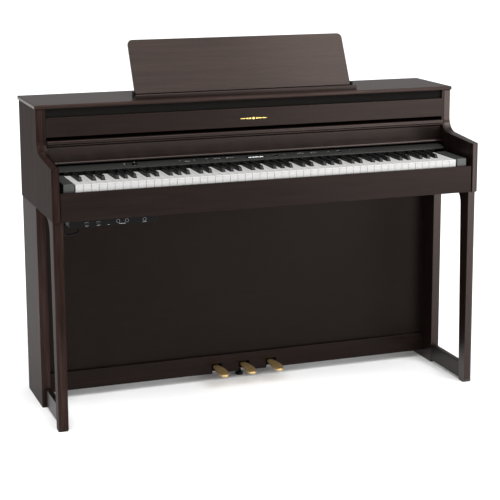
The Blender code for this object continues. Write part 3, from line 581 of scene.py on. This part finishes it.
def turned(bm, profile, place, sides, closed=False):
    """Spins an (r, z) profile and sets it in its place. A closed one is a ring round the axis."""
    before = set(bm.verts)
    verts = [bm.verts.new((r, 0, z)) for r, z in profile]
    ends = verts[1:] + verts[:1] if closed else verts[1:]
    edges = [bm.edges.new(pair) for pair in zip(verts, ends)]
    bmesh.ops.spin(
        bm, geom=verts + edges, axis=(0, 0, 1), cent=(0, 0, 0), angle=math.tau, steps=sides, use_merge=True)
    bmesh.ops.remove_doubles(bm, verts=[v for v in bm.verts if v not in before], dist=1e-7)
    bmesh.ops.transform(bm, matrix=place, verts=[v for v in bm.verts if v not in before])


def smoothed(piece, degrees=35):
    """Shades a piece smooth, except at edges sharper than the angle."""
    piece.data.shade_smooth()
    piece.data.set_sharp_from_angle(angle=math.radians(degrees))
    return piece


bm = bmesh.new()
for x in PADS:
    turned(bm, PAD_PROFILE, panel_spot(x), PAD_SIDES)
pads = smoothed(made("touch_pads", bm, pad_black))
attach(pads, "cabinet")

# Display: a dark window of glossy plastic, let into the middle of the panel. It shows a row of plain blocks,
# lit in a soft white.
GLASS_DARK = (0.004, 0.005, 0.005)
GLASS_PALE = (0.007, 0.008, 0.008)
LIT_DARK = (0.55, 0.57, 0.58)
LIT_PALE = (0.75, 0.77, 0.78)
GLOW_DARK = (0.50, 0.54, 0.56)
GLOW_PALE = (0.80, 0.84, 0.86)
BLOCK_HEIGHTS = (0.0050, 0.0072, 0.0036, 0.0080, 0.0058, 0.0076, 0.0064, 0.0040, 0.0078, 0.0054)
BLOCK_PITCH = 0.0050
BLOCK_WIDTH = 0.0036
BLOCK_THICK = 0.00006
BLOCK_LINE = CONTROL_LINE - 0.0042
GLASS_RISE = 0.00036
display_glass = Finish("display_glass", coat_weight=1.0, coat_roughness=0.04)
haze = display_glass.noise(60.0, 2.0)
tone = display_glass.between(haze, GLASS_DARK, GLASS_PALE)
display_glass.feed(base_color=tone, roughness=0.10 + haze * 0.06)
clad(display_glass, "display_window")
lit = Finish("display_light", roughness=0.5, emission_strength=0.7)
dots = lit.noise(2500.0, 1.0)
lit.feed(base_color=lit.between(dots, LIT_DARK, LIT_PALE))
lit.feed(emission_color=lit.between(dots, GLOW_DARK, GLOW_PALE))
bm = bmesh.new()
for number, height in enumerate(BLOCK_HEIGHTS):
    x = (number - (len(BLOCK_HEIGHTS) - 1) / 2) * BLOCK_PITCH
    flat_mark(bm, panel_spot(x, BLOCK_LINE + height / 2, GLASS_RISE), BLOCK_WIDTH, height)
thickened(bm, BLOCK_THICK)
shown = made("display_blocks", bm, lit)
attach(shown, "cabinet")

# Buttons: three round moulded caps with a dished top, on springs. They and the two knobs stand in rims of
# polished plastic, which are fixed to the panel.
RIM_DARK = (0.07, 0.07, 0.07)
RIM_PALE = (0.12, 0.12, 0.12)
MOULDED_DARK = (0.0022, 0.0022, 0.0022)
MOULDED_PALE = (0.0045, 0.0045, 0.0045)
# Where each button is and its radius, and where each knob is, its radius and its height.
BUTTONS = {"power_button": (-0.4196, 0.0045), "tone_button": (-0.158, 0.0045), "play_button": (0.284, 0.0055)}
KNOBS = {"volume_knob": (-0.390, 0.0075, 0.006), "select_dial": (0.068, 0.0062, 0.004)}
CAP_BOTTOM = -0.0048
CAP_SIDES = 36
RIM_INSIDE = 0.0006
RIM_OUTSIDE = 0.0015
rim_metal = Finish("rim_metal", metallic=1.0)
rim_scuff = rim_metal.noise(500.0, 2.0)
rim_metal.feed(base_color=rim_metal.between(rim_scuff, RIM_DARK, RIM_PALE), roughness=0.20 + rim_scuff * 0.12)
moulded = Finish("moulded_black", specular_ior_level=0.08)
sheen = moulded.noise(900.0, 2.0)
moulded.feed(base_color=moulded.between(sheen, MOULDED_DARK, MOULDED_PALE), roughness=0.30 + sheen * 0.12)
moulded.bump(sheen, 0.08, 0.0002)
for name, (x, radius) in BUTTONS.items():
    cap = (
        (0, CAP_BOTTOM), (radius, CAP_BOTTOM), (radius, 0.0010), (radius - 0.0003, 0.0016),
        (radius - 0.0010, 0.0018), (radius * 0.6, 0.0014), (0, 0.0012),
    )
    bm = bmesh.new()
    turned(bm, cap, panel_spot(x), CAP_SIDES)
    button = smoothed(made(f"{name}_cap", bm, moulded))
    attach(button, name)
    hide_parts(name)
bm = bmesh.new()
for x, radius in [*BUTTONS.values(), *[size[:2] for size in KNOBS.values()]]:
    inner, outer = radius + RIM_INSIDE, radius + RIM_OUTSIDE
    rim = ((inner, -0.0004), (outer, 0.00002), (outer, 0.00035), (outer - 0.0004, 0.0006), (inner, 0.00045))
    turned(bm, rim, panel_spot(x), CAP_SIDES, closed=True)
rims = smoothed(made("control_rims", bm, rim_metal))
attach(rims, "cabinet")

# Knobs: moulded in the buttons' plastic with a fluted skirt and a dished top, and pushed onto their shafts.
# A white line on each points to the setting.
FLUTES = 30
FLUTE_TAPER = 0.955
SKIRT_RISE = 0.0008
SHOULDER_RISE = 0.0010
SHOULDER_TAPER = 0.90
DISH_RIM = 0.0009
DISH_DEPTH = 0.0005
POINTER_PLACE = 0.52  # this and the length are shares of the knob's radius
POINTER_LENGTH = 0.55
POINTER_WIDTH = 0.0008
POINTER_THICK = 0.0002
POINTER_SINK = 0.00042
POINTER_EDGE = 0.00006
for name, (x, radius, height) in KNOBS.items():
    bm = bmesh.new()
    base = Matrix.Translation((0, 0, CAP_BOTTOM))
    bmesh.ops.create_circle(bm, cap_ends=True, segments=FLUTES * 2, radius=radius, matrix=base)
    face, _ = raised(bm, next(iter(bm.faces)), SKIRT_RISE - CAP_BOTTOM)
    face, ring = raised(bm, face, height - SKIRT_RISE - SHOULDER_RISE)
    for v in sorted(ring, key=lambda v: math.atan2(v.co.y, v.co.x))[1::2]:
        v.co.x *= FLUTE_TAPER
        v.co.y *= FLUTE_TAPER
    face, ring = raised(bm, face, SHOULDER_RISE)
    bmesh.ops.scale(bm, verts=ring, vec=(SHOULDER_TAPER, SHOULDER_TAPER, 1.0))
    bmesh.ops.inset_individual(bm, faces=[face], thickness=DISH_RIM, depth=-DISH_DEPTH)
    bmesh.ops.transform(bm, matrix=panel_spot(x), verts=bm.verts)
    knob = smoothed(made(f"{name}_body", bm, moulded), 30)
    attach(knob, name)
    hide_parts(name)
    bm = bmesh.new()
    line = panel_spot(x, CONTROL_LINE + radius * POINTER_PLACE, height - POINTER_SINK)
    cuboid(bm, line, POINTER_WIDTH, radius * POINTER_LENGTH, POINTER_THICK)
    rounded(bm, list(bm.edges), POINTER_EDGE, 2)
    pointer = smoothed(made(f"{name}_pointer", bm, print_grey), 60)
    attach(pointer, name)

# Small fittings of the cabinet: the rest's brackets and prop, the socket box, the power inlet and the
# tweeters. They are moulded in the buttons' black plastic. The two circuit boards inside are green.
MASK_DARK = (0.010, 0.070, 0.030)
MASK_PALE = (0.030, 0.130, 0.060)
clad(moulded, "rest_bracket_left", "rest_bracket_right", "rest_stay", "socket_box", "power_inlet")
clad(moulded, "tweeter_left", "tweeter_right")
circuit_green = Finish("circuit_green", roughness=0.45)
traces = circuit_green.noise(260.0, 3.0)
circuit_green.feed(base_color=circuit_green.between(traces, MASK_DARK, MASK_PALE, 0.42, 0.58))
clad(circuit_green, "main_board", "power_board")

# Speakers: a pressed basket, a rolled rubber surround, a paper cone and a domed cap. The two of them are
# screwed face down into the keybed.
PAPER_DARK = (0.010, 0.010, 0.010)
PAPER_PALE = (0.024, 0.023, 0.022)
MAGNET_SHARE = 0.58
SPEAKER_SIDES = 48
paper = Finish("cone_paper", roughness=0.8, specular_ior_level=0.2)
pulp = paper.noise(600.0)
paper.feed(base_color=paper.between(pulp, PAPER_DARK, PAPER_PALE))
paper.bump(pulp, 0.3, 0.0004)
for side in ("left", "right"):
    low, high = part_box(f"speaker_{side}")
    r = (high.x - low.x) / 2
    middle = ((low.x + high.x) / 2, (low.y + high.y) / 2, low.z)
    cone = [(0, 0.0085), (0.006, 0.0095), (0.012, 0.0130), (0.0125, 0.0165), (r - 0.016, 0.0045)]
    roll = [(r - 0.0145, 0.0016), (r - 0.0120, 0.0006), (r - 0.0095, 0.0016)]
    basket = [(r - 0.0085, 0.0002), (r, 0.0002), (r, 0.0038), (r - 0.008, 0.006)]
    magnet = [(r * MAGNET_SHARE, 0.034), (r * MAGNET_SHARE, 0.0498), (0, 0.0498)]
    bm = bmesh.new()
    turned(bm, [*cone, *roll, *basket, *magnet], Matrix.Translation(middle), SPEAKER_SIDES)
    speaker = smoothed(made(f"speaker_{side}_cone", bm, paper), 40)
    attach(speaker, "cabinet")
    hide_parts(f"speaker_{side}")

# Sockets: plated rings round the three jacks, plated shells in the two flat ports, and a ring at the inlet.
# The jacks and ports are soldered to a board in the socket box, and short printed bars stand under them.
JACKS = (0.144, 0.170, 0.224)
JACK_RING = (
    (0.00348, -0.012), (0.00398, -0.012), (0.00398, 0.0002), (0.0060, 0.0002), (0.0060, 0.0008),
    (0.0054, 0.0013), (0.00388, 0.0013), (0.00348, 0.0009),
)
INLET_RING = (
    (0.0028, -0.008), (0.0034, -0.008), (0.0034, 0.0001), (0.0052, 0.0001), (0.0052, 0.0007),
    (0.0028, 0.0007),
)
RING_SIDES = 28
PORTS = (0.050, 0.085)
PORT_INSET = 0.006
PORT_LENGTH = 0.0135
# A port's walls: how far across and up from its middle, and the width and height.
PORT_WALLS = (
    (0, 0.0027, 0.0126, 0.0004), (0, -0.0027, 0.0126, 0.0004),
    (0.0061, 0, 0.0004, 0.0050), (-0.0061, 0, 0.0004, 0.0050),
)
TONGUE_PLACE = (0, 0.0008, -0.001)
TONGUE_SIZE = (0.0100, 0.0014, 0.0100)
# Printed bars: where each is, and its length.
SOCKET_BARS = ((0.050, 0.010), (0.085, 0.010), (0.115, 0.006), (0.157, 0.020), (0.224, 0.012))
BAR_RISE = 0.0035
BAR_PROUD = 0.00004
BAR_THICK = 0.0001
BAR_HEIGHT = 0.0006
box_low, box_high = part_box("socket_box")
box_middle = (box_low.z + box_high.z) / 2
inlet_low, inlet_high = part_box("power_inlet")
inlet_middle = ((inlet_low.x + inlet_high.x) / 2, inlet_high.y, (inlet_low.z + inlet_high.z) / 2)
facing_front = Matrix.Rotation(math.pi / 2, 4, "X")
facing_back = Matrix.Rotation(-math.pi / 2, 4, "X")
bm = bmesh.new()
for x in JACKS:
    place = Matrix.Translation((box_low.x + x, box_low.y, box_middle)) @ facing_front
    turned(bm, JACK_RING, place, RING_SIDES, closed=True)
turned(bm, INLET_RING, Matrix.Translation(inlet_middle) @ facing_back, RING_SIDES, closed=True)
collars = smoothed(made("socket_collars", bm, rim_metal))
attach(collars, "cabinet")
bm = bmesh.new()
for x in PORTS:
    place = Matrix.Translation((box_low.x + x, box_low.y + PORT_INSET, box_middle)) @ facing_front
    for across, up, width, height in PORT_WALLS:
        cuboid(bm, place @ Matrix.Translation((across, up, 0)), width, height, PORT_LENGTH)
    cuboid(bm, place @ Matrix.Translation(TONGUE_PLACE), *TONGUE_SIZE)
shells = made("port_shells", bm, rim_metal)
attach(shells, "cabinet")
bm = bmesh.new()
for x, length in SOCKET_BARS:
    place = Matrix.Translation((box_low.x + x, box_low.y - BAR_PROUD, box_low.z + BAR_RISE))
    cuboid(bm, place, length, BAR_THICK, BAR_HEIGHT)
socket_print = made("socket_print", bm, print_grey)
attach(socket_print, "cabinet")

# Headphone hook: a bent steel wire with a plastic coat, screwed up into the keybed through a small flange. It
# drops from there, runs to the right and a little back, and turns up at its tip.
HOOK_WIRE = 0.0028
HOOK_ROUTE = (
    (0, 0, 0.012), (0.0015, 0.0008, 0.0065), (0.005, 0.003, 0.0035), (0.010, 0.006, HOOK_WIRE),
    (0.026, 0.016, HOOK_WIRE), (0.042, 0.026, HOOK_WIRE), (0.0465, 0.0287, 0.0045), (0.0495, 0.0306, 0.009),
    (0.051, 0.032, 0.0165),
)
FLANGE = ((0.0029, -0.0022), (0.0075, -0.0022), (0.0080, -0.0016), (0.0080, -0.0001), (0.0029, -0.0001))
hook_low, hook_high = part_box("headphone_hook")
hook_foot = Vector((hook_low.x + HOOK_WIRE, hook_low.y + HOOK_WIRE, hook_low.z))
hook_top = Vector((hook_foot.x, hook_foot.y, hook_high.z))
route = [hook_top, *[hook_foot + Vector(step) for step in HOOK_ROUTE]]
curve = bpy.data.curves.new("hook_wire", "CURVE")
curve.dimensions = "3D"
curve.bevel_depth = HOOK_WIRE
curve.bevel_resolution = 5
curve.use_fill_caps = True
spline = curve.splines.new("BEZIER")
spline.bezier_points.add(len(route) - 1)
for point, place in zip(spline.bezier_points, route):
    point.co = place
    point.handle_left_type = point.handle_right_type = "AUTO"
curve.materials.append(moulded.material)
hook = bpy.data.objects.new("hook_wire", curve)
bpy.context.scene.collection.objects.link(hook)
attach(hook, "cabinet")
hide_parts("headphone_hook")
bm = bmesh.new()
turned(bm, FLANGE, Matrix.Translation(hook_top), RING_SIDES, closed=True)
flange_piece = smoothed(made("hook_flange", bm, plated))
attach(flange_piece, "cabinet")

# Pedals: solid brass levers that widen to a rounded toe, polished and lacquered. Each comes out through a
# slot in the rail, which is lined with felt.
BRASS_DARK = (0.46, 0.31, 0.135)
BRASS_PALE = (0.58, 0.41, 0.19)
# A lever's sections: how far before the pivot, half the width, and the rise.
PEDAL_SECTIONS = (
    (-0.010, 0.0098, 0.0), (0.000, 0.0100, 0.0), (0.040, 0.0100, 0.0), (0.064, 0.0101, 0.0),
    (0.074, 0.0118, 0.0002), (0.084, 0.0138, 0.0005), (0.096, 0.0158, 0.0008), (0.108, 0.0172, 0.0010),
    (0.122, 0.0180, 0.0008), (0.136, 0.0181, 0.0), (0.146, 0.0172, -0.0010), (0.154, 0.0154, -0.0021),
    (0.160, 0.0125, -0.0031), (0.1642, 0.0088, -0.0038), (0.1662, 0.0048, -0.0042), (0.1668, 0.0020, -0.0044),
)
SECTION_SIDES = 28
SECTION_FULLNESS = 0.70
PEDAL_HALF_THICK = 0.0045
TOE_HALF_WIDTH = 0.0085
TOE_ROUNDNESS = 0.45
PIVOT_INSET = 0.010
PIVOT_DROP = 0.0055
LINING_OUT = 0.0168
LINING_RISE = 0.0160
LINING_SIZE = (0.0020, 0.024, 0.0310)
brass = Finish("polished_brass", metallic=0.8, specular_ior_level=0.5)
smudge = brass.noise(40.0, 3.0)
polish = brass.noise((90.0, 1400.0, 1400.0), 2.0)
tone = brass.between(smudge, BRASS_DARK, BRASS_PALE)
brass.feed(base_color=tone, roughness=0.24 + smudge * 0.14 + polish * 0.05)


def fuller(share):
    """Moves a point of a round section outwards. SHARE is from -1 to 1 of the section's half size."""
    return math.copysign(abs(share) ** SECTION_FULLNESS, share)


def edges_within(bm, verts):
    return [e for e in bm.edges if all(v in verts for v in e.verts)]


for side in ("left", "middle", "right"):
    low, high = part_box(f"pedal_{side}")
    pivot = Vector(((low.x + high.x) / 2, high.y - PIVOT_INSET, high.z - PIVOT_DROP))
    bm = bmesh.new()
    rings = []
    for distance, half, lift in PEDAL_SECTIONS:
        thick = PEDAL_HALF_THICK * min(1.0, (half / TOE_HALF_WIDTH) ** TOE_ROUNDNESS)
        middle = pivot + Vector((0, -distance, lift))
        place = Matrix.Translation(middle) @ facing_front @ Matrix.Diagonal((half, thick, 1, 1))
        ring = bmesh.ops.create_circle(bm, segments=SECTION_SIDES, radius=1.0, matrix=place)["verts"]
        for v in ring:
            v.co.x = middle.x + half * fuller((v.co.x - middle.x) / half)
            v.co.z = middle.z + thick * fuller((v.co.z - middle.z) / thick)
        rings.append(ring)
    for first, second in zip(rings, rings[1:]):
        bmesh.ops.bridge_loops(bm, edges=edges_within(bm, first) + edges_within(bm, second))
    for ring in (rings[0], rings[-1]):
        bmesh.ops.contextual_create(bm, geom=edges_within(bm, ring))
    pedal = smoothed(made(f"pedal_{side}_lever", bm, brass), 50)
    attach(pedal, f"pedal_{side}")
    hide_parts(f"pedal_{side}")
rail_low, rail_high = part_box("pedal_rail")
bm = bmesh.new()
for side in ("left", "middle", "right"):
    low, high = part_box(f"pedal_{side}")
    for out in (-LINING_OUT, LINING_OUT):
        middle = ((low.x + high.x) / 2 + out, (rail_low.y + rail_high.y) / 2, rail_low.z + LINING_RISE)
        cuboid(bm, Matrix.Translation(middle), *LINING_SIZE)
linings = made("pedal_linings", bm, felt)
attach(linings, "cabinet")

# Adjuster: a plastic foot on a threaded rod under the pedal box. It is screwed down until it stands on the
# floor and takes the weight of a foot on a pedal.
ADJUSTER_FOOT = (
    (0, 0.0002), (0.0120, 0.0002), (0.0130, 0.0012), (0.0130, 0.0080), (0.0118, 0.0100), (0.0060, 0.0108),
    (0.0052, 0.0112),
)
THREAD_CREST = 0.0052
THREAD_ROOT = 0.0045
THREAD_START = 0.0118
THREAD_STEP = 0.00075
THREAD_POINTS = 21
ADJUSTER_SIDES = 28
low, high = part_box("adjuster_foot")
middle = ((low.x + high.x) / 2, (low.y + high.y) / 2, 0)
radii = [THREAD_CREST if number % 2 else THREAD_ROOT for number in range(THREAD_POINTS)]
thread = [(radius, THREAD_START + THREAD_STEP * number) for number, radius in enumerate(radii)]
rod_end = [(THREAD_ROOT, high.z), (0, high.z)]
bm = bmesh.new()
turned(bm, [*ADJUSTER_FOOT, *thread, *rod_end], Matrix.Translation(middle), ADJUSTER_SIDES)
adjuster = smoothed(made("adjuster", bm, moulded), 40)
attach(adjuster, "cabinet")
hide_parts("adjuster_foot")

# Screws: dark steel pan heads, each with a round recess for the driver. They are driven in rows round the
# back panel and along the back of the knee panel.
SCREW_DARK = (0.05, 0.05, 0.05)
SCREW_PALE = (0.10, 0.10, 0.10)
SCREW_HEAD = (
    (0, 0.00005), (0.0038, 0.00005), (0.0038, 0.0006), (0.0030, 0.0015), (0.0013, 0.0019), (0.0011, 0.0012),
    (0, 0.0012),
)
SCREW_SIDES = 14
BACK_MARGIN = (0.012, 0.010)
KNEE_MARGIN = (0.030, 0.015)
SIDE_SHARES = (0.35, 0.65)
zinc = Finish("dark_screws", metallic=1.0)
tarnish = zinc.noise(300.0, 2.0)
zinc.feed(base_color=zinc.between(tarnish, SCREW_DARK, SCREW_PALE), roughness=0.32 + tarnish * 0.15)


def screw_rows(box, margin, half_count):
    """The screws along a panel's two long edges, on its back."""
    low, high = box
    reach = high.x - margin[0]
    heights = (low.z + margin[1], high.z - margin[1])
    shares = [number / half_count for number in range(-half_count, half_count + 1)]
    return [(share * reach, high.y, z) for share in shares for z in heights]


back_low, back_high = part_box("back_panel")
spots = screw_rows(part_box("back_panel"), BACK_MARGIN, 5)
for x in (BACK_MARGIN[0] - back_high.x, back_high.x - BACK_MARGIN[0]):
    spots += [(x, back_high.y, back_low.z + share * (back_high.z - back_low.z)) for share in SIDE_SHARES]
spots += screw_rows(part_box("knee_panel"), KNEE_MARGIN, 4)
bm = bmesh.new()
for spot in spots:
    turned(bm, SCREW_HEAD, Matrix.Translation(spot) @ facing_back, SCREW_SIDES)
screws = smoothed(made("panel_screws", bm, zinc), 40)
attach(screws, "cabinet")
